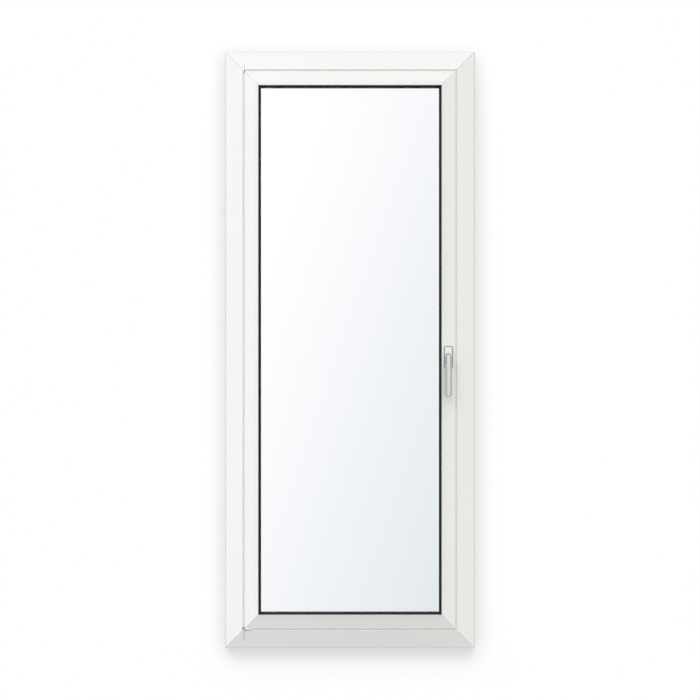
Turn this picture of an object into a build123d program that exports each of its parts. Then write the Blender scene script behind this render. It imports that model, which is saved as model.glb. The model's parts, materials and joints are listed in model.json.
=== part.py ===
"""Tilt and turn french window: one glazed leaf, hung on the left, in a fixed frame.

Millimetres, +Z up. The room is on the -Y side and the outdoors on the +Y side.
The origin is the middle of the sill's underside. Every profile is drawn once, as a
section in (inset, y), where inset is the distance from the frame's outer edge, and is
then run along the left, right, top and bottom of the window with 45 degree mitres.
"""

import math
import os

from build123d import *

# Overall size
WIDTH = 900.0
HEIGHT = 2150.0

# Fixed frame section
FRAME_DEPTH = 82.0
FRAME_FACE = 63.4
FACE_SLOPE = 8.0  # degrees, each room side face comes forward towards the glass
STOP_REACH = 22.0  # the stop leg reaches this far past the face towards the glass
STOP_THICKNESS = 20.0
DRIP_SLOPE = 4.0  # how far a weathered end falls back towards the outdoors
EDGE_RADIUS = 1.5
FACE_RADIUS = 0.3  # on the edges that show on the room side

# Grooves left by the corner welds
WELD_WIDTH = 1.4
WELD_DEPTH = 1.8

# Drain slots in the sill's outdoor face
DRAIN_LENGTH = 28.0
DRAIN_HEIGHT = 5.0
DRAIN_DEPTH = 8.0
DRAIN_RISE = 25.0  # from the sill's underside to the middle of a slot
DRAIN_SPACING = 520.0

# Sash section
FACE_GAP = 5.2  # open joint between frame and sash on the room side
FLANGE_DEPTH = 18.0
HARDWARE_GAP = 12.0  # space between frame and sash behind the flange, for the fittings
STOP_GAP = 5.0  # between the sash and the stop leg, where the frame seal sits
LEG_GAP = 6.0  # between the sash's outer lip and the end of the stop leg
SASH_FACE = 42.4
LIP_SETBACK = 11.0  # the sash's outer lip stands this far inside the frame's outer face
LIP_THICKNESS = 15.0

# Glazing
BEAD_FACE = 7.7
BEAD_JOINT = 0.3
BEAD_HOOK = 5.0  # the bead's foot reaches this far under the sash's front wall
BEAD_FOOT = 8.7
PANE = 4.0
CAVITY = 20.0
SEAL_THICKNESS = 4.0
SEAL_SHOWING = 9.2
SEAL_HIDDEN = 9.0
GLASS_COVER = 10.5  # how far the bead covers the edge of the glass
SPACER_SETBACK = 3.0
SPACER_WIDTH = 9.0

# Frame seals: a bulb on the stop leg and a lip that closes the joint on the room side
SEAL_BULB = 6.0
SEAL_CLEARANCE = 0.5
LIP_SEAL_SETBACK = 1.6
LIP_SEAL_DEPTH = 4.0

# Hinge fittings
KNUCKLE_RADIUS = 3.5
PIN_RADIUS = 2.0
PIN_CLEARANCE = 0.06
POCKET_CLEARANCE = 0.9
POCKET_HEIGHT = 8.5  # of the pocket in the sash above the tilt axis
BRACKET_LENGTH = 26.0
BRACKET_CHAMFER = 1.2
KNUCKLE_GAP = 0.4
TRUNNION_RADIUS = 1.4
BAND_LENGTH = 18.0
BAND_OFFSET = 8.0
BAND_WALL = 0.9
BAND_RISE = 6.4  # of the tab that the band is let into the sash with
BAND_DEPTH = 8.0
NOTCH_WIDTH = 10.8  # of the notch in the sash's upper corner that the stay swings through
STAY_LENGTH = 350.0
STAY_WIDTH = 14.0
STAY_THICKNESS = 3.0
STAY_NECK = 3.6
STAY_RISE = 3.0  # from the leaf's top to the arm's underside
STUD_RADIUS = 4.5
STUD_CLEARANCE = 1.0

# Locking fittings: rails let into the sash's edges, cams on them, and keeps on the frame
RAIL_WIDTH = 16.0
RAIL_THICKNESS = 2.5
RAIL_MARGIN = 120.0
CAM_RADIUS = 5.0
CAM_HEIGHT = 5.0
CAM_MARGIN = 180.0  # from a rail's end to its nearest cam
KEEP_LENGTH = 60.0
KEEP_WIDTH = 22.0
KEEP_THICKNESS = 2.0
KEEP_RIB = 2.5
KEEP_RIB_WIDTH = 5.0
KEEP_OFFSET = 55.0  # each keep's middle lies this far along from its cam

# Handle
HANDLE_INSET = 95.4
HANDLE_HEIGHT = 1050.0
UNDERLAY_WIDTH = 31.0
UNDERLAY_HEIGHT = 78.0
UNDERLAY_CORNER = 6.0
UNDERLAY_RISE = 3.0  # from the sash face at the handle's axis to the underlay's front
ROSETTE_BORDER = 2.4  # the underlay shows this far round the rosette
ROSETTE_THICKNESS = 11.0  # from the sash face at the handle's axis to the rosette's front
ROSETTE_ROUND = 1.2
COLLAR_WIDTH = 22.6
COLLAR_ABOVE = 13.0  # from the handle's axis to the collar's upper end
COLLAR_BELOW = 33.0
COLLAR_DEPTH = 3.0
COLLAR_CLEARANCE = 0.1
SPINDLE_RADIUS = 8.0
SPINDLE_CLEARANCE = 0.3
LEVER_STANDOFF = 41.0  # from the rosette's front to the lever's front
LEVER_LENGTH = 143.0  # from the spindle's axis to the tip
LEVER_NECK_WIDTH = 18.5
LEVER_NECK_LENGTH = 30.0
LEVER_SHOULDER = 14.0
LEVER_GRIP_WIDTH = 24.0
LEVER_THICKNESS = 16.0
LEVER_BACK_CHAMFER = 2.0
LEVER_FLANK = 13.0  # depth of the lever's sloping flanks
LEVER_FLAT_WIDTH = 10.8  # of the flat strip along the lever's front
LEVER_FLAT_TOP = 0.9  # from the crown to the strip's upper end
LEVER_FLAT_TIP = 3.4  # from the tip to the strip's lower end

# Places that follow from the sizes above
rise = math.tan(math.radians(FACE_SLOPE))
room_face = -FRAME_DEPTH / 2
outer_face = FRAME_DEPTH / 2
stop_face = outer_face - STOP_THICKNESS
stop_end = FRAME_FACE + STOP_REACH
sash_edge = FRAME_FACE + FACE_GAP
sash_rebate = FRAME_FACE + HARDWARE_GAP
sash_back = stop_face - STOP_GAP
flange_back = room_face + FLANGE_DEPTH
lip_edge = stop_end + LEG_GAP
bead_edge = sash_edge + SASH_FACE
bead_start = bead_edge + BEAD_JOINT
sight_line = bead_start + BEAD_FACE
lip_face = outer_face - LIP_SETBACK
lip_inner = lip_face - LIP_THICKNESS
glass_outer = lip_inner - SEAL_THICKNESS
glass_inner = glass_outer - 2 * PANE - CAVITY
bead_back = glass_inner - SEAL_THICKNESS
bead_hook_y = bead_back - BEAD_FOOT
glass_edge = sight_line - GLASS_COVER
hinge_inset = FRAME_FACE + FACE_GAP / 2
hinge_x = -WIDTH / 2 + hinge_inset
hinge_y = room_face
tilt_z = hinge_inset
leaf_top = HEIGHT - sash_rebate
stay_z = leaf_top + STAY_RISE + STAY_THICKNESS / 2
handle_x = WIDTH / 2 - HANDLE_INSET
hardware_y = (flange_back + sash_back) / 2


def frame_face_y(inset):
    """The y of the frame's sloped room side face."""
    return room_face - rise * (inset - FRAME_FACE)


def sash_face_y(inset):
    """The y of the sloped room side face of the sash and its beads."""
    return room_face - rise * (inset - sash_edge)


def around(middle, width):
    return (middle - width / 2, middle + width / 2)


def rectangle_points(insets, y_levels):
    (inset_0, inset_1), (y_0, y_1) = insets, y_levels
    return [(inset_0, y_0), (inset_1, y_0), (inset_1, y_1), (inset_0, y_1)]


def section(points, radii=()):
    """A closed section through the points, its corners rounded by (index, radius) pairs."""
    face = make_face(Polyline(*points, close=True))
    for index, radius in radii:
        corner = face.vertices().sort_by_distance(Vector(*points[index]))[0]
        face = fillet(corner, radius)
    return face


SIDES = {
    "left": (Plane((-WIDTH / 2, 0, 0), (1, 0, 0), (0, 0, 1)), HEIGHT),
    "right": (Plane((WIDTH / 2, 0, HEIGHT), (-1, 0, 0), (0, 0, -1)), HEIGHT),
    "bottom": (Plane((WIDTH / 2, 0, 0), (0, 0, 1), (-1, 0, 0)), WIDTH),
    "top": (Plane((-WIDTH / 2, 0, HEIGHT), (0, 0, -1), (1, 0, 0)), WIDTH),
}


def mitred(profile, side):
    """One length of a profile along a side of the window, mitred at both ends."""
    plane, length = SIDES[side]
    deepest = profile.bounding_box().max.X + FACE_GAP
    bar = extrude(plane * profile, length, dir=plane.z_dir)
    lying = Plane(plane.origin, x_dir=plane.z_dir, z_dir=plane.z_dir.cross(plane.x_dir))
    outline = [(0, 0), (length, 0), (length - deepest, deepest), (deepest, deepest)]
    wedge = extrude(lying * make_face(Polyline(*outline, close=True)), 2 * FRAME_DEPTH, both=True)
    return bar & wedge


def ring(profile):
    """A profile run all round the window as one piece."""
    whole = mitred(profile, "left")
    for side in ("top", "right", "bottom"):
        whole = whole + mitred(profile, side)
    return whole.clean()


def weld_cutters(start, end, outwards):
    """V-shaped cutters along the mitres of a face that runs between two (inset, y) points."""
    tip = (0, -WELD_DEPTH)
    vee = make_face(Polyline((-WELD_WIDTH, WELD_DEPTH), (WELD_WIDTH, WELD_DEPTH), tip, close=True))
    cutters = []
    for x_sign in (-1, 1):
        for z_sign in (-1, 1):
            points = []
            for inset, y in (start, end):
                points.append(Vector(x_sign * (WIDTH / 2 - inset), y, z_sign * (HEIGHT / 2 - inset)))
            run = points[1] - points[0]
            middle = (points[0] + points[1]) / 2 + Vector(0, 0, HEIGHT / 2)
            plane = Plane(middle, x_dir=Vector(0, outwards, 0).cross(run), z_dir=run)
            cutters.append(extrude(plane * vee, run.length / 2 + WELD_WIDTH, both=True))
    return cutters


def on_side(side, inset, y, along, shape):
    """A shape placed on a side of the window, its own axes being inset, y and along."""
    return SIDES[side][0].location * Pos(inset, y, along) * shape


def upright(x, y, z_0, z_1, radius):
    return Pos(x, y, (z_0 + z_1) / 2) * Cylinder(radius, z_1 - z_0)


def block(x, y, z):
    """A box from three (low, high) pairs."""
    size = [high - low for low, high in (x, y, z)]
    middle = [(low + high) / 2 for low, high in (x, y, z)]
    return Pos(*middle) * Box(*size)


def save(shape, name):
    export_step(shape, f"parts/{name}.step")


os.makedirs("parts", exist_ok=True)

# Sections
frame_points = [
    (0, frame_face_y(0)),
    (FRAME_FACE, room_face),
    (FRAME_FACE, stop_face),
    (stop_end, stop_face),
    (stop_end - DRIP_SLOPE, outer_face),
    (0, outer_face),
]
sash_points = [
    (sash_edge, room_face),
    (bead_edge, sash_face_y(bead_edge)),
    (bead_edge, bead_hook_y - BEAD_JOINT),
    (bead_edge - BEAD_HOOK, bead_hook_y - BEAD_JOINT),
    (bead_edge - BEAD_HOOK, lip_inner),
    (sight_line, lip_inner),
    (sight_line - DRIP_SLOPE, lip_face),
    (lip_edge, lip_face),
    (lip_edge, sash_back),
    (sash_rebate, sash_back),
    (sash_rebate, flange_back),
    (sash_edge, flange_back),
]
bead_points = [
    (bead_start, sash_face_y(bead_start)),
    (sight_line, sash_face_y(sight_line)),
    (sight_line, bead_back),
    (bead_start - BEAD_HOOK, bead_back),
    (bead_start - BEAD_HOOK, bead_hook_y),
    (bead_start, bead_hook_y),
]
frame_profile = section(
    frame_points, [(0, FACE_RADIUS), (1, FACE_RADIUS), (3, EDGE_RADIUS), (4, EDGE_RADIUS)]
)
sash_profile = section(
    sash_points, [(0, FACE_RADIUS), (5, EDGE_RADIUS), (6, EDGE_RADIUS), (7, EDGE_RADIUS)]
)
bead_profile = section(bead_points, [(1, FACE_RADIUS)])

# Hinge heights
pocket_radius = KNUCKLE_RADIUS + POCKET_CLEARANCE
seat_radius = KNUCKLE_RADIUS + PIN_CLEARANCE
lower_top = tilt_z - KNUCKLE_RADIUS - KNUCKLE_GAP
lower_bottom = lower_top - BRACKET_LENGTH
pocket_top = tilt_z + POCKET_HEIGHT
stay_levels = around(stay_z, STAY_THICKNESS)
notch_bottom = stay_levels[0] - POCKET_CLEARANCE
upper_bottom = stay_levels[1] + KNUCKLE_GAP
upper_top = upper_bottom + BRACKET_LENGTH

# Pockets that the hinge fittings sit in and swing through
band_x = (hinge_x + BAND_OFFSET, hinge_x + BAND_OFFSET + BAND_LENGTH)
band_radius = TRUNNION_RADIUS + PIN_CLEARANCE + BAND_WALL
band_tab = block(band_x, (hinge_y, hinge_y + BAND_DEPTH), (tilt_z, tilt_z + BAND_RISE))
band_reach = (hinge_x, band_x[1] + POCKET_CLEARANCE)
band_swing = around(hinge_y, 2 * (band_radius + POCKET_CLEARANCE))
notch_x = around(hinge_x, NOTCH_WIDTH)
notch_z = (notch_bottom, HEIGHT - FRAME_FACE)
frame_pockets = [
    upright(hinge_x, hinge_y, lower_bottom, pocket_top, seat_radius),
    upright(hinge_x, hinge_y, lower_top, pocket_top, pocket_radius),
    block(band_reach, band_swing, (tilt_z - band_radius - POCKET_CLEARANCE, tilt_z)),
    upright(hinge_x, hinge_y, notch_bottom, upper_top, seat_radius),
    upright(hinge_x, hinge_y, notch_bottom, upper_bottom, pocket_radius),
]
sash_pockets = [
    upright(hinge_x, hinge_y, tilt_z, pocket_top, pocket_radius),
    band_tab,
    block(notch_x, around(hinge_y, 2 * FLANGE_DEPTH), notch_z),
]

# Fixed frame
frame_cuts = frame_pockets + weld_cutters((0, frame_face_y(0)), (FRAME_FACE, room_face), -1)
frame_cuts += weld_cutters((0, outer_face), (stop_end - DRIP_SLOPE, outer_face), 1)
slot = Rot(90, 0, 0) * extrude(SlotOverall(DRAIN_LENGTH, DRAIN_HEIGHT), DRAIN_DEPTH, both=True)
for x in around(0, DRAIN_SPACING):
    frame_cuts.append(Pos(x, outer_face, DRAIN_RISE) * slot)
frame_names = {"left": "left_jamb", "right": "right_jamb", "top": "head", "bottom": "sill"}
for side, name in frame_names.items():
    save(mitred(frame_profile, side).cut(*frame_cuts), f"frame_{name}")

# Frame seals, the room side one left out where the hinge fittings swing
bulb_insets = around((sash_rebate + lip_edge) / 2, SEAL_BULB)
bulb_points = rectangle_points(bulb_insets, (sash_back + SEAL_CLEARANCE, stop_face))
save(ring(section(bulb_points, [(0, EDGE_RADIUS), (1, EDGE_RADIUS)])), "frame_seal")
lip_seal_insets = (FRAME_FACE, sash_edge - SEAL_CLEARANCE)
lip_seal_y = (room_face + LIP_SEAL_SETBACK, room_face + LIP_SEAL_SETBACK + LIP_SEAL_DEPTH)
lip_seal = ring(section(rectangle_points(lip_seal_insets, lip_seal_y)))
lip_seal -= block((-WIDTH / 2, band_reach[1]), lip_seal_y, (0, pocket_top))
lip_seal -= block((-WIDTH / 2, notch_x[1]), lip_seal_y, (notch_bottom, HEIGHT))
save(lip_seal, "joint_seal")

# Rails let into the sash's edges: the stay's stud slides along the top one
rail_start = sash_rebate + RAIL_MARGIN
rails = {}
for side, (_, length) in SIDES.items():
    rail = Box(RAIL_THICKNESS, RAIL_WIDTH, length - 2 * rail_start)
    rails[side] = on_side(side, sash_rebate + RAIL_THICKNESS / 2, hardware_y, length / 2, rail)

# Sash and beads
sash_weld = ((sash_edge, room_face), (sight_line, sash_face_y(sight_line)), -1)
sash_cuts = sash_pockets + list(rails.values()) + weld_cutters(*sash_weld)
sash_cuts += weld_cutters((lip_edge, lip_face), (sight_line - DRIP_SLOPE, lip_face), 1)
sash_names = {"left": "left_stile", "right": "right_stile", "top": "top_rail", "bottom": "bottom_rail"}
for side, name in sash_names.items():
    save(mitred(sash_profile, side).cut(*sash_cuts), f"sash_{name}")
    save(mitred(bead_profile, side).cut(*weld_cutters(*sash_weld)), f"glazing_bead_{side}")
    save(rails[side], f"lock_rail_{side}")

# Cams on the rails and keeps on the frame: two to a side, and none on top under the stay
cams = []
keeps = []
for side in ("left", "right", "bottom"):
    length = SIDES[side][1]
    for along in around(length / 2, length - 2 * (rail_start + CAM_MARGIN)):
        cam = Rot(0, 90, 0) * Cylinder(CAM_RADIUS, CAM_HEIGHT)
        cams.append(on_side(side, sash_rebate - CAM_HEIGHT / 2, hardware_y, along, cam))
        keep = Box(KEEP_THICKNESS, KEEP_WIDTH, KEEP_LENGTH)
        rib_y = (KEEP_RIB_WIDTH - KEEP_WIDTH) / 2
        keep += Pos((KEEP_THICKNESS + KEEP_RIB) / 2, rib_y, 0) * Box(KEEP_RIB, KEEP_RIB_WIDTH, KEEP_LENGTH)
        keeps.append(on_side(side, FRAME_FACE + KEEP_THICKNESS / 2, hardware_y, along + KEEP_OFFSET, keep))
save(Compound(children=cams), "locking_cams")
save(Compound(children=keeps), "lock_keeps")

# Glass unit
pane_x = around(0, WIDTH - 2 * glass_edge)
pane_z = around(HEIGHT / 2, HEIGHT - 2 * glass_edge)
save(block(pane_x, (glass_inner, glass_inner + PANE), pane_z), "inner_glass_pane")
save(block(pane_x, (glass_outer - PANE, glass_outer), pane_z), "outer_glass_pane")
spacer_start = glass_edge + SPACER_SETBACK
spacer_insets = (spacer_start, spacer_start + SPACER_WIDTH)
save(ring(section(rectangle_points(spacer_insets, (glass_inner + PANE, glass_outer - PANE)))), "glass_spacer")
seal_insets = (sight_line - SEAL_HIDDEN, sight_line + SEAL_SHOWING)
save(ring(section(rectangle_points(seal_insets, (bead_back, glass_inner)))), "inner_glazing_seal")
save(ring(section(rectangle_points(seal_insets, (glass_outer, lip_inner)))), "outer_glazing_seal")

# Lower corner hinge: bracket and pin on the frame, swivel, and the band on the sash
lower_bracket = upright(hinge_x, hinge_y, lower_bottom, lower_top, KNUCKLE_RADIUS)
lower_bracket = chamfer(lower_bracket.edges().group_by(Axis.Z)[0], BRACKET_CHAMFER)
lower_bracket += upright(hinge_x, hinge_y, lower_top, tilt_z - TRUNNION_RADIUS - KNUCKLE_GAP, PIN_RADIUS)
save(lower_bracket, "lower_hinge_bracket")
swivel = upright(hinge_x, hinge_y, *around(tilt_z, 2 * KNUCKLE_RADIUS), KNUCKLE_RADIUS)
bore_z = (tilt_z - KNUCKLE_RADIUS, tilt_z - TRUNNION_RADIUS)
swivel -= upright(hinge_x, hinge_y, *bore_z, PIN_RADIUS + PIN_CLEARANCE)
trunnion_length = BAND_OFFSET + BAND_LENGTH
trunnion = Pos(hinge_x + trunnion_length / 2, hinge_y, tilt_z) * Rot(0, 90, 0)
swivel += trunnion * Cylinder(TRUNNION_RADIUS, trunnion_length)
save(swivel, "hinge_swivel")
barrel = Pos((band_x[0] + band_x[1]) / 2, hinge_y, tilt_z) * Rot(0, 90, 0) * Cylinder(band_radius, BAND_LENGTH)
band = (barrel + band_tab) - trunnion * Cylinder(TRUNNION_RADIUS + PIN_CLEARANCE, 2 * trunnion_length)
save(band, "lower_hinge_band")

# Upper hinge: bracket and pin on the frame, and the stay's eye and arm that swing on the pin
upper_bracket = upright(hinge_x, hinge_y, upper_bottom, upper_top, KNUCKLE_RADIUS)
upper_bracket = chamfer(upper_bracket.edges().group_by(Axis.Z)[-1], BRACKET_CHAMFER)
upper_bracket += upright(hinge_x, hinge_y, stay_levels[0], upper_bottom, PIN_RADIUS)
save(upper_bracket, "upper_hinge_bracket")
stay_y = around(hardware_y, STAY_WIDTH)
neck_x = around(hinge_x, STAY_NECK)
stay_end = hinge_x + STAY_LENGTH
eye = upright(hinge_x, hinge_y, *stay_levels, KNUCKLE_RADIUS)
eye -= upright(hinge_x, hinge_y, *stay_levels, PIN_RADIUS + PIN_CLEARANCE)
save(eye, "stay_eye")
stay = block(neck_x, (hinge_y, stay_y[1]), stay_levels)
stay += block((neck_x[0], stay_end), stay_y, stay_levels)
stay += upright(stay_end, hardware_y, *stay_levels, STAY_WIDTH / 2)
stay += upright(stay_end, hardware_y, leaf_top + STUD_CLEARANCE, stay_levels[1], STUD_RADIUS)
save(stay - upright(hinge_x, hinge_y, *stay_levels, seat_radius), "stay_arm")

# Handle rosette on the lock stile, on its underlay, with the collar let into its front
rosette_front = sash_face_y(HANDLE_INSET) - ROSETTE_THICKNESS
underlay_front = sash_face_y(HANDLE_INSET) - UNDERLAY_RISE
right_stile = mitred(section(sash_points), "right")
bore = Pos(handle_x, rosette_front, HANDLE_HEIGHT) * Rot(90, 0, 0)
bore *= Cylinder(SPINDLE_RADIUS + SPINDLE_CLEARANCE, 4 * ROSETTE_THICKNESS)


def facing(y):
    """The plane at a depth that looks into the room, centred on the handle's axis."""
    return Plane((handle_x, y, HANDLE_HEIGHT), (1, 0, 0), (0, -1, 0))


underlay_outline = RectangleRounded(UNDERLAY_WIDTH, UNDERLAY_HEIGHT, UNDERLAY_CORNER)
underlay = extrude(facing(room_face) * underlay_outline, room_face - underlay_front)
save(underlay.cut(right_stile, bore), "handle_underlay")
recess_outline = Pos(0, (COLLAR_ABOVE - COLLAR_BELOW) / 2) * Rot(0, 0, 90)
recess_outline *= SlotOverall(COLLAR_ABOVE + COLLAR_BELOW, COLLAR_WIDTH)
recess = extrude(facing(rosette_front + COLLAR_DEPTH) * recess_outline, COLLAR_DEPTH)
collar_outline = offset(recess_outline, -COLLAR_CLEARANCE)
collar = extrude(facing(rosette_front + COLLAR_DEPTH) * collar_outline, COLLAR_DEPTH)
rosette_outline = offset(underlay_outline, -ROSETTE_BORDER)
rosette = extrude(facing(underlay_front) * rosette_outline, underlay_front - rosette_front)
rosette = fillet(rosette.faces().sort_by(Axis.Y)[0].edges(), ROSETTE_ROUND)
save(rosette.cut(recess, bore), "handle_rosette")
save(collar.cut(bore), "handle_collar")


def lever_outline(neck_half, grip_half, crown_start, crown_end, grip_end, tip_end):
    """The lever seen from the front: a rounded neck that swells into the grip."""
    grip_start = -LEVER_NECK_LENGTH - LEVER_SHOULDER
    neck_side = Line((neck_half, crown_start), (neck_half, -LEVER_NECK_LENGTH))
    shoulder = Spline(neck_side @ 1, (grip_half, grip_start), tangents=((0, -1), (0, -1)))
    grip_side = Line(shoulder @ 1, (grip_half, grip_end))
    half_outline = [neck_side, shoulder, grip_side]
    tip = ThreePointArc((grip_half, grip_end), (0, tip_end), (-grip_half, grip_end))
    crown = ThreePointArc((-neck_half, crown_start), (0, crown_end), (neck_half, crown_start))
    other_half = [mirror(line, Plane.YZ) for line in half_outline]
    return make_face(half_outline + [tip, crown] + other_half)


# Handle lever, with flanks that slope to a flat strip, on the spindle that turns in the rosette
neck_half = LEVER_NECK_WIDTH / 2
grip_half = LEVER_GRIP_WIDTH / 2
flat_half = LEVER_FLAT_WIDTH / 2
flat_top = neck_half - LEVER_FLAT_TOP
flat_tip = LEVER_FLAT_TIP - LEVER_LENGTH
body_outline = lever_outline(
    neck_half, grip_half, 0, neck_half, grip_half - LEVER_LENGTH, -LEVER_LENGTH
)
flat_outline = lever_outline(
    flat_half, flat_half, flat_top - flat_half, flat_top, flat_tip + flat_half, flat_tip
)
lever_front = rosette_front - LEVER_STANDOFF
lever_back = lever_front + LEVER_THICKNESS
flank_back = lever_front + LEVER_FLANK
lever = extrude(facing(lever_back) * body_outline, lever_back - flank_back)
lever = chamfer(lever.faces().sort_by(Axis.Y)[-1].edges(), LEVER_BACK_CHAMFER)
lever += loft([facing(flank_back) * body_outline, facing(lever_front) * flat_outline], ruled=True)
spindle_back = sash_face_y(HANDLE_INSET + SPINDLE_RADIUS) - SPINDLE_CLEARANCE
spindle = Pos(handle_x, (lever_back + spindle_back) / 2, HANDLE_HEIGHT) * Rot(90, 0, 0)
lever += spindle * Cylinder(SPINDLE_RADIUS, spindle_back - lever_back)
save(lever, "handle_lever")
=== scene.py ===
"""Looks of the tilt and turn french window: materials, screw heads, stage, lights and camera."""

import json
import math

import bmesh
import bpy
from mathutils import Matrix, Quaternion, Vector
from mathutils.geometry import tessellate_polygon


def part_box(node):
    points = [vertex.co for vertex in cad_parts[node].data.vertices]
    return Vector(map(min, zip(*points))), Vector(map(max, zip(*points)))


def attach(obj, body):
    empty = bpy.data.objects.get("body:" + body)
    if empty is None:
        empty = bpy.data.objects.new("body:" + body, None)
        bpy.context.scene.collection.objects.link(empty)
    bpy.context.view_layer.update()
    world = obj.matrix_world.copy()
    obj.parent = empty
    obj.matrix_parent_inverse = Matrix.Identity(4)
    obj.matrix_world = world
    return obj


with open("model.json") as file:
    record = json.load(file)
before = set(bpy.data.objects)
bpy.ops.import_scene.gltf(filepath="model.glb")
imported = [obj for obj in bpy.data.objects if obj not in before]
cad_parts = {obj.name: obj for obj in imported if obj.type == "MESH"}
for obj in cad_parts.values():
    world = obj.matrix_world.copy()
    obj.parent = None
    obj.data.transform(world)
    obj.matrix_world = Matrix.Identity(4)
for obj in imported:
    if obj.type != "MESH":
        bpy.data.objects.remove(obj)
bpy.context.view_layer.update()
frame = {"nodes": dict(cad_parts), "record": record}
scene = bpy.context.scene

# The window's own measures, in metres
WIDTH = 0.900
HEIGHT = 2.150
FRONT_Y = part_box("frame_left_jamb")[0].y
BACK_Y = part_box("frame_left_jamb")[1].y
EDGE_Y = -0.0321  # the front of the frame at its outer edge

# Camera: the photograph is straight on, with 700 pixels to 2.525 m at the frame's face
VIEW_WIDTH = 2.525
DISTANCE = 14.0
SENSOR = 36.0
AIM_X = 0.0
AIM_Z = 1.075

# Stage: a wall close behind the window, a floor below, and panels in front
WALL_Y = BACK_Y + 0.004
FLOOR_Z = -0.30
STAGE_REACH = 20.0
PANEL_Y = -3.0
GLOW_LEVELS = [(-0.15, 0.97), (0.06, 0.30), (2.0, 0.30), (HEIGHT, 0.75)]  # height and share of glow
LAMP_SHORTFALL = 0.081  # what the lamps leave to white on the wall
SHADES = [(0.07, 0.24), (0.006, 0.45)]  # reach and depth of the wall's contact shades

# Painted edge shade, a grey line painted round the frame's outer edge on the room side: how far in from
# the frame's edge it starts and is full, and the same behind its front
EDGE_SHADE_INSET = (0.0026, 0.0022)
EDGE_SHADE_BEHIND = (0.0008, 0.0002)
EDGE_SHADE_SIDES = 0.5
EDGE_SHADE_ENDS = 0.22
EDGE_SHADE_GREY = (0.25, 0.25, 0.245)

# Materials
# Painted shade on the handle's lever: a darker grey for its flanks, where they turn away from the front
FLANK_SHADE_GREY = (0.56, 0.58, 0.57)
FLANK_SHADE_TURN = (-0.9, -0.6)  # the normal's Y where a flank starts, and where it is full
NOISE_RANGE = (0.3, 0.7)  # where most of a noise's values lie
GRAIN_DEPTH = 0.0002


def new_material(name):
    """An empty node material, with its shader and output."""
    mat = bpy.data.materials.new(name)
    mat.use_nodes = True
    tree = mat.node_tree
    tree.nodes.clear()
    shader = tree.nodes.new("ShaderNodeBsdfPrincipled")
    out = tree.nodes.new("ShaderNodeOutputMaterial")
    tree.links.new(shader.outputs[0], out.inputs["Surface"])
    return mat, tree, shader, out


def add(tree, kind, **values):
    """A node with the given input values."""
    node = tree.nodes.new(kind)
    for name, value in values.items():
        node.inputs[name.replace("_", " ")].default_value = value
    return node


def coordinate(tree, kind):
    """The X, Y and Z of one of a surface's own coordinates."""
    place = tree.nodes.new("ShaderNodeTexCoord")
    axes = tree.nodes.new("ShaderNodeSeparateXYZ")
    tree.links.new(place.outputs[kind], axes.inputs[0])
    return axes.outputs


def remap(tree, value, start, end, low, high):
    """A value between start and end turned into one between low and high."""
    node = add(tree, "ShaderNodeMapRange", From_Min=start, From_Max=end, To_Min=low, To_Max=high)
    tree.links.new(value, node.inputs["Value"])
    return node.outputs[0]


def calculate(tree, operation, one, other=None):
    """The result for one value, or for two, of which the second can be a plain number."""
    node = tree.nodes.new("ShaderNodeMath")
    node.operation = operation
    tree.links.new(one, node.inputs[0])
    if isinstance(other, float):
        node.inputs[1].default_value = other
    elif other is not None:
        tree.links.new(other, node.inputs[1])
    return node.outputs[0]


def mix_shaders(tree, share, one, other):
    """One shader going over to another by a share."""
    node = tree.nodes.new("ShaderNodeMixShader")
    tree.links.new(share, node.inputs[0])
    tree.links.new(one.outputs[0], node.inputs[1])
    tree.links.new(other.outputs[0], node.inputs[2])
    return node


def noise(tree, scale, detail=3.0):
    """Noise in object space."""
    place = tree.nodes.new("ShaderNodeTexCoord")
    texture = add(tree, "ShaderNodeTexNoise", Scale=scale, Detail=detail)
    tree.links.new(place.outputs["Object"], texture.inputs["Vector"])
    return texture.outputs["Fac"]


def ramp(tree, value, low, high):
    """A noise value spread between two colours."""
    node = tree.nodes.new("ShaderNodeValToRGB")
    for element, position, colour in zip(node.color_ramp.elements, NOISE_RANGE, (low, high)):
        element.position = position
        element.color = (*colour, 1.0)
    tree.links.new(value, node.inputs["Fac"])
    return node.outputs["Color"]


def spread(tree, value, low, high):
    """A noise value spread between two numbers."""
    return remap(tree, value, *NOISE_RANGE, low, high)


def bump(tree, shader, value, strength):
    """Fine relief from a value."""
    node = add(tree, "ShaderNodeBump", Strength=strength, Distance=GRAIN_DEPTH)
    tree.links.new(value, node.inputs["Height"])
    tree.links.new(node.outputs[0], shader.inputs["Normal"])


def surface(name, low, high, rough, tone_scale, grain_scale, grain, metallic=0.0, specular=0.5):
    """A surface with slow colour drift, fine grain in its bump, and uneven roughness."""
    mat, tree, shader, _ = new_material(name)
    shader.inputs["Metallic"].default_value = metallic
    shader.inputs["Specular IOR Level"].default_value = specular
    tone = noise(tree, tone_scale)
    tree.links.new(ramp(tree, tone, low, high), shader.inputs["Base Color"])
    fine = noise(tree, grain_scale, detail=4.0)
    tree.links.new(spread(tree, fine, *rough), shader.inputs["Roughness"])
    bump(tree, shader, fine, grain)
    return mat


def tint(mat, share, colour):
    """Another colour laid over a material's own by a share."""
    tree = mat.node_tree
    base = tree.nodes["Principled BSDF"].inputs["Base Color"]
    node = tree.nodes.new("ShaderNodeMix")
    node.data_type = "RGBA"
    own, laid, result = node.inputs[6], node.inputs[7], node.outputs[2]
    laid.default_value = (*colour, 1.0)
    tree.links.new(share, node.inputs[0])
    tree.links.new(base.links[0].from_socket, own)
    tree.links.new(result, base)


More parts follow.
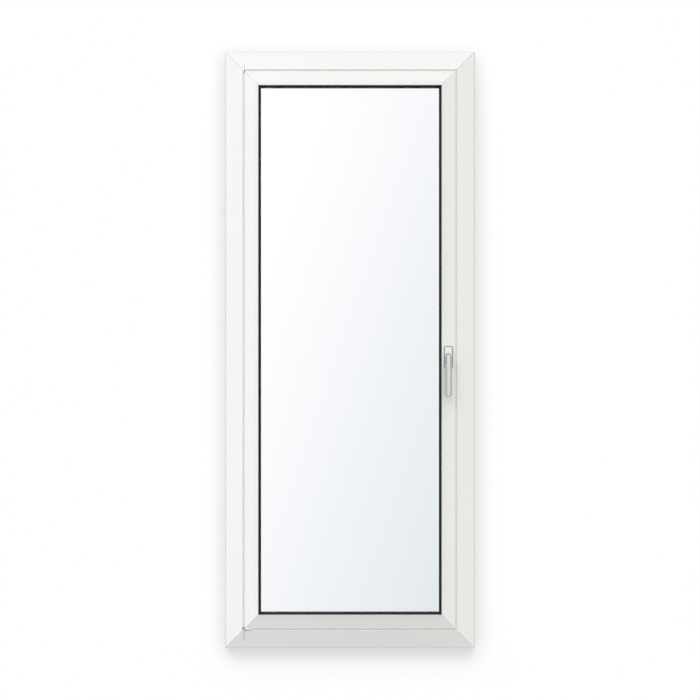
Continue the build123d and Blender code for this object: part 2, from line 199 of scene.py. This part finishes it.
def painted_edge_shade(mat):
    """Painted shade: a grey line round the frame's outer edge on the room side, stronger on the sides
    than at the top and bottom.
    """
    tree = mat.node_tree
    axes = coordinate(tree, "Object")
    across = calculate(tree, "ABSOLUTE", axes["X"])
    sides = remap(tree, across, *(WIDTH / 2 - inset for inset in EDGE_SHADE_INSET), 0.0, EDGE_SHADE_SIDES)
    up = calculate(tree, "ABSOLUTE", calculate(tree, "SUBTRACT", axes["Z"], HEIGHT / 2))
    ends = remap(tree, up, *(HEIGHT / 2 - inset for inset in EDGE_SHADE_INSET), 0.0, EDGE_SHADE_ENDS)
    front = remap(tree, axes["Y"], *(EDGE_Y + behind for behind in EDGE_SHADE_BEHIND), 0.0, 1.0)
    line = calculate(tree, "MULTIPLY", calculate(tree, "MAXIMUM", sides, ends), front)
    tint(mat, line, EDGE_SHADE_GREY)


def painted_flank_shade(mat):
    """Painted shade: a darker grey laid on the surfaces that turn away from the front."""
    facing = coordinate(mat.node_tree, "Normal")["Y"]
    tint(mat, remap(mat.node_tree, facing, *FLANK_SHADE_TURN, 0.0, 1.0), FLANK_SHADE_GREY)


def glass():
    """Clear glass with a pale blue body, that lets lamp light through."""
    mat, tree, shader, out = new_material("clear_glass")
    shader.inputs["Transmission Weight"].default_value = 1.0
    shader.inputs["IOR"].default_value = 1.5
    body = ramp(tree, noise(tree, 1.3), (0.884, 0.917, 0.937), (0.888, 0.920, 0.940))
    tree.links.new(body, shader.inputs["Base Color"])
    tree.links.new(spread(tree, noise(tree, 4.0), 0.0, 0.012), shader.inputs["Roughness"])
    clear = add(tree, "ShaderNodeBsdfTransparent", Color=(0.96, 0.985, 0.99, 1.0))
    path = tree.nodes.new("ShaderNodeLightPath")
    mix = mix_shaders(tree, path.outputs["Is Shadow Ray"], shader, clear)
    tree.links.new(mix.outputs[0], out.inputs["Surface"])
    return mat


# For each slot: two colours, roughness range, scales of the colour drift and the grain, and grain
SURFACES = {
    "white_pvc": ((0.786, 0.789, 0.770), (0.795, 0.798, 0.779), (0.28, 0.34), 2.2, 900.0, 0.05),
    "black_rubber": ((0.009, 0.01, 0.01), (0.015, 0.016, 0.016), (0.5, 0.66), 60.0, 1500.0, 0.3),
    "grey_rubber": ((0.64, 0.64, 0.63), (0.72, 0.72, 0.70), (0.55, 0.7), 40.0, 1500.0, 0.25),
    # grey_plastic is kept dark so that the handle's collar stands in for the shade beside the lever's
    # neck: painted shade
    "grey_plastic": ((0.21, 0.215, 0.21), (0.25, 0.255, 0.25), (0.45, 0.6), 80.0, 1400.0, 0.2),
    "white_hinge": ((0.87, 0.87, 0.86), (0.89, 0.89, 0.88), (0.32, 0.4), 30.0, 1100.0, 0.2),
    "grey_hinge": ((0.62, 0.62, 0.61), (0.66, 0.66, 0.65), (0.36, 0.46), 30.0, 1100.0, 0.2),
    "zinc_steel": ((0.5, 0.51, 0.53), (0.68, 0.69, 0.71), (0.28, 0.44), 160.0, 700.0, 0.12),
    # dark_plastic colours the ring under the handle's rosette, a dark outline that stands in for the
    # shade round the rosette's edge: painted shade
    "dark_plastic": ((0.04, 0.04, 0.042), (0.055, 0.055, 0.058), (0.4, 0.55), 50.0, 1200.0, 0.2),
    "handle_white": ((0.82, 0.82, 0.81), (0.85, 0.85, 0.84), (0.3, 0.38), 25.0, 1300.0, 0.15),
    "handle_grey": ((0.67, 0.685, 0.675), (0.7, 0.715, 0.705), (0.3, 0.38), 25.0, 1300.0, 0.15),
}
SPECIAL = {"black_rubber": {"specular": 0.2}, "zinc_steel": {"metallic": 1.0}}
MATERIALS = {slot: surface(slot, *values, **SPECIAL.get(slot, {})) for slot, values in SURFACES.items()}
MATERIALS["clear_glass"] = glass()
# Painted shade: a grey line round the frame's outer edge, laid into the white PVC
painted_edge_shade(MATERIALS["white_pvc"])
# Painted shade on the lever's flanks, darker where they turn away from the front
painted_flank_shade(MATERIALS["handle_grey"])

# Two groups of pieces, because the glass and the rest reflect different panels
panes = bpy.data.collections.new("panes")
opaque = bpy.data.collections.new("opaque")
for row in frame["record"]["subparts"]:
    node = frame["nodes"][row["node"]]
    slot = row["material_slot"]
    node.data.materials.clear()
    node.data.materials.append(MATERIALS[slot])
    (panes if slot == "clear_glass" else opaque).objects.link(node)

# Screw heads: pan heads with a cross recess, in metres
HEAD_RADIUS = 0.0032
HEAD_RISE = 0.0008
HEAD_SUNK = 0.0003  # how far a head's underside is let into what carries it
HEAD_RINGS = [(1.0, -HEAD_SUNK), (1.0, 0.5 * HEAD_RISE), (0.9, 0.9 * HEAD_RISE), (0.72, HEAD_RISE)]
HEAD_SEGMENTS = 24
HEAD_TURN = 0.65  # each recess is turned a little further than the one before
RECESS_ARM = 0.52 * HEAD_RADIUS
RECESS_WIDTH = 0.15 * HEAD_RADIUS
RECESS_FLOOR = 0.2 * HEAD_RISE

# Where the screws are, along the rails and from the middles of the keeps
UPRIGHT_SCREWS = [0.26, 0.56, 0.82, 1.30, 1.56, 1.89]
LEVEL_SCREWS = [-0.215, 0.0, 0.215]
TOP_SCREWS = [0.10, 0.215]  # clear of the stay's stud
KEEP_LEVELS = [0.4304, 1.8296]
KEEP_PLACES = [-0.1296, 0.0196]
KEEP_PLATE = 0.0020
KEEP_SCREW = 0.020  # from a keep's middle to its screws


def head_loops():
    """The loops of points of one head from its underside's rim inwards to the recess floor."""
    turns = [2 * math.pi * i / HEAD_SEGMENTS for i in range(HEAD_SEGMENTS)]
    loops = []
    for share, z in HEAD_RINGS:
        radius = HEAD_RADIUS * share
        loops.append([Vector((radius * math.cos(t), radius * math.sin(t), z)) for t in turns])
    a, b = RECESS_ARM, RECESS_WIDTH
    arm = [Vector((a, -b, 0)), Vector((a, b, 0)), Vector((b, b, 0))]
    cross = [Quaternion((0, 0, 1), math.pi / 2 * i) @ point for i in range(4) for point in arm]
    for z in (HEAD_RISE, RECESS_FLOOR):
        loops.append([point + Vector((0, 0, z)) for point in cross])
    return loops


def add_head(mesh, place, outward, turn):
    """One head in a bmesh, at a place, facing outward and turned about its own axis."""
    spin = Vector(outward).to_track_quat("Z", "Y") @ Quaternion((0, 0, 1), turn)
    loops = head_loops()
    points = [[mesh.verts.new(Vector(place) + spin @ p) for p in loop] for loop in loops]
    rims, (upper, lower) = points[:-2], points[-2:]
    for one, other in (*zip(rims, rims[1:]), (upper, lower)):
        for i in range(len(one)):
            mesh.faces.new((one[i - 1], one[i], other[i], other[i - 1]))
    mesh.faces.new(rims[0])
    for group, outlines in ((rims[-1] + upper, [loops[-3], loops[-2]]), (lower, [loops[-1]])):
        for corners in tessellate_polygon(outlines):
            mesh.faces.new([group[i] for i in corners])


def screw_heads(name, places, body):
    """A piece with a head at each (place, outward direction), riding on a body."""
    shape = bmesh.new()
    for i, (place, outward) in enumerate(places):
        add_head(shape, place, outward, HEAD_TURN * i)
    bmesh.ops.recalc_face_normals(shape, faces=shape.faces)
    mesh = bpy.data.meshes.new(name)
    shape.to_mesh(mesh)
    shape.free()
    mesh.materials.append(MATERIALS["zinc_steel"])
    piece = bpy.data.objects.new(name, mesh)
    scene.collection.objects.link(piece)
    opaque.objects.link(piece)
    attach(piece, body)


left_rail, right_rail, bottom_rail, top_rail = (
    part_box(f"lock_rail_{side}") for side in ("left", "right", "bottom", "top")
)
rail_y = (left_rail[0].y + left_rail[1].y) / 2
rail_places = []
for z in UPRIGHT_SCREWS:
    rail_places.append(((left_rail[0].x, rail_y, z), (-1, 0, 0)))
    rail_places.append(((right_rail[1].x, rail_y, z), (1, 0, 0)))
rail_places += [((x, rail_y, bottom_rail[0].z), (0, 0, -1)) for x in LEVEL_SCREWS]
rail_places += [((x, rail_y, top_rail[1].z), (0, 0, 1)) for x in TOP_SCREWS]
screw_heads("lock_rail_screws", rail_places, "sash")

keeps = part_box("lock_keeps")
keep_places = []
for step in (-KEEP_SCREW, KEEP_SCREW):
    for z in KEEP_LEVELS:
        keep_places.append(((keeps[0].x + KEEP_PLATE, rail_y, z + step), (1, 0, 0)))
        keep_places.append(((keeps[1].x - KEEP_PLATE, rail_y, z + step), (-1, 0, 0)))
    keep_places += [((x + step, rail_y, keeps[0].z + KEEP_PLATE), (0, 0, 1)) for x in KEEP_PLACES]
screw_heads("lock_keep_screws", keep_places, "frame")


def contact_shade(tree, reach, depth):
    """White that darkens by a depth within a reach of other surfaces."""
    open_sky = add(tree, "ShaderNodeAmbientOcclusion", Distance=reach)
    return remap(tree, open_sky.outputs["AO"], 0.0, 1.0, 1.0 - depth, 1.0)


def stage_material(name):
    """White that glows by a share and is lit for the rest, and is plain white in glass and gloss."""
    mat, tree, shader, out = new_material(name)
    shader.inputs["Roughness"].default_value = 1.0
    shader.inputs["Specular IOR Level"].default_value = 0.0
    shader.inputs["Emission Strength"].default_value = LAMP_SHORTFALL
    glow = add(tree, "ShaderNodeEmission", Strength=1.0)
    near, close = (contact_shade(tree, *shade) for shade in SHADES)
    shade = calculate(tree, "MULTIPLY", close, near)
    path = tree.nodes.new("ShaderNodeLightPath").outputs
    seen = calculate(tree, "MAXIMUM", path["Is Transmission Ray"], path["Is Glossy Ray"])
    tree.links.new(shade, shader.inputs["Base Color"])
    tree.links.new(shade, shader.inputs["Emission Color"])
    tree.links.new(calculate(tree, "MAXIMUM", seen, shade), glow.inputs["Color"])
    height = coordinate(tree, "Object")["Z"]
    (z_0, low), (z_1, middle), (z_2, _), (z_3, high) = GLOW_LEVELS
    below = remap(tree, height, z_0, z_1, low, middle)
    above = remap(tree, height, z_2, z_3, middle, high)
    share = calculate(tree, "MAXIMUM", seen, calculate(tree, "MAXIMUM", below, above))
    lit = mix_shaders(tree, share, shader, glow)
    clear = tree.nodes.new("ShaderNodeBsdfTransparent")
    facing = tree.nodes.new("ShaderNodeNewGeometry")
    mix = mix_shaders(tree, facing.outputs["Backfacing"], lit, clear)
    tree.links.new(mix.outputs[0], out.inputs["Surface"])
    return mat


def sheet(name, corners, mat):
    """A flat four-cornered stage piece."""
    mesh = bpy.data.meshes.new(name)
    mesh.from_pydata(corners, [], [tuple(range(len(corners)))])
    mesh.materials.append(mat)
    obj = bpy.data.objects.new(name, mesh)
    scene.collection.objects.link(obj)
    return obj


backdrop_white = stage_material("backdrop_white")
wall = sheet(
    "wall",
    [
        (-STAGE_REACH, WALL_Y, FLOOR_Z),
        (STAGE_REACH, WALL_Y, FLOOR_Z),
        (STAGE_REACH, WALL_Y, STAGE_REACH),
        (-STAGE_REACH, WALL_Y, STAGE_REACH),
    ],
    backdrop_white,
)
floor = sheet(
    "floor",
    [
        (-STAGE_REACH, -STAGE_REACH, FLOOR_Z),
        (STAGE_REACH, -STAGE_REACH, FLOOR_Z),
        (STAGE_REACH, STAGE_REACH, FLOOR_Z),
        (-STAGE_REACH, STAGE_REACH, FLOOR_Z),
    ],
    backdrop_white,
)
for obj in (wall, floor):
    obj.visible_diffuse = False
    obj.visible_shadow = False
floor.visible_glossy = False


def sun(name, source, strength, angle):
    """A lamp far off in the direction of source, as wide as the angle in degrees."""
    data = bpy.data.lights.new(name, "SUN")
    data.energy = strength
    data.angle = math.radians(angle)
    lamp = bpy.data.objects.new(name, data)
    lamp.rotation_mode = "QUATERNION"
    lamp.rotation_quaternion = (-Vector(source)).to_track_quat("-Z", "Y")
    lamp.visible_glossy = False
    lamp.visible_transmission = False
    scene.collection.objects.link(lamp)


sun("key", (-0.22, -1.395, 1.885), 2.355, 70.0)
sun("rear_fill", (0.5, 1.0, 0.15), 1.88, 60.0)


def softbox(name, x, y, z, levels, receivers, colour=(1.0, 1.0, 1.0)):
    """A panel in front of the window that only the gloss of its receivers sees.

    Its level falls from the upper left corner, levels[1], to the lower right one, levels[0].
    """
    mat, tree, shader, out = new_material(name)
    tree.nodes.remove(shader)
    axes = coordinate(tree, "Generated")
    slope = calculate(tree, "SUBTRACT", axes["Z"], axes["X"])
    glow = add(tree, "ShaderNodeEmission", Color=(*colour, 1.0))
    tree.links.new(remap(tree, slope, -1.0, 1.0, *levels), glow.inputs["Strength"])
    tree.links.new(glow.outputs[0], out.inputs["Surface"])
    corners = [(x[0], y, z[0]), (x[0], y, z[1]), (x[1], y, z[1]), (x[1], y, z[0])]
    panel = sheet(name, corners, mat)
    panel.visible_camera = False
    panel.visible_diffuse = False
    panel.visible_transmission = False
    panel.visible_shadow = False
    panel.light_linking.receiver_collection = receivers


softbox("glass_softbox", (-0.42, 0.42), PANEL_Y, (-0.15, 2.30), (0.0, 8.3), panes, (1.0, 0.74, 0.66))
softbox("left_softbox", (-2.6, -0.75), PANEL_Y, (-1.2, 3.4), (5.05, 5.05), opaque)
softbox("right_softbox", (0.75, 2.6), PANEL_Y, (-1.2, 3.4), (3.0, 3.0), opaque, (1.0, 1.02, 0.90))
softbox("top_softbox", (-2.6, 2.6), PANEL_Y - 0.05, (2.45, 4.3), (3.45, 3.45), opaque)

# World: soft light all round, and plain white to the camera and in glass
world = bpy.data.worlds.new("studio")
scene.world = world
world.use_nodes = True
sky = world.node_tree
sky.nodes.clear()
soft = add(sky, "ShaderNodeBackground", Color=(1.0, 1.0, 1.0, 1.0), Strength=0.475)
plain = add(sky, "ShaderNodeBackground", Color=(1.0, 1.0, 1.0, 1.0), Strength=1.0)
sky_path = sky.nodes.new("ShaderNodeLightPath").outputs
sky_seen = calculate(sky, "MAXIMUM", sky_path["Is Camera Ray"], sky_path["Is Transmission Ray"])
sky_mix = mix_shaders(sky, sky_seen, soft, plain)
sky_out = sky.nodes.new("ShaderNodeOutputWorld")
sky.links.new(sky_mix.outputs[0], sky_out.inputs["Surface"])

# Camera
lens = bpy.data.cameras.new("camera")
lens.sensor_width = SENSOR
lens.lens = SENSOR * DISTANCE / VIEW_WIDTH
lens.clip_end = 100.0
camera = bpy.data.objects.new("camera", lens)
camera.location = (AIM_X, FRONT_Y - DISTANCE, AIM_Z)
camera.rotation_euler = (math.pi / 2, 0.0, 0.0)
scene.collection.objects.link(camera)
scene.camera = camera
scene.view_settings.view_transform = "Standard"
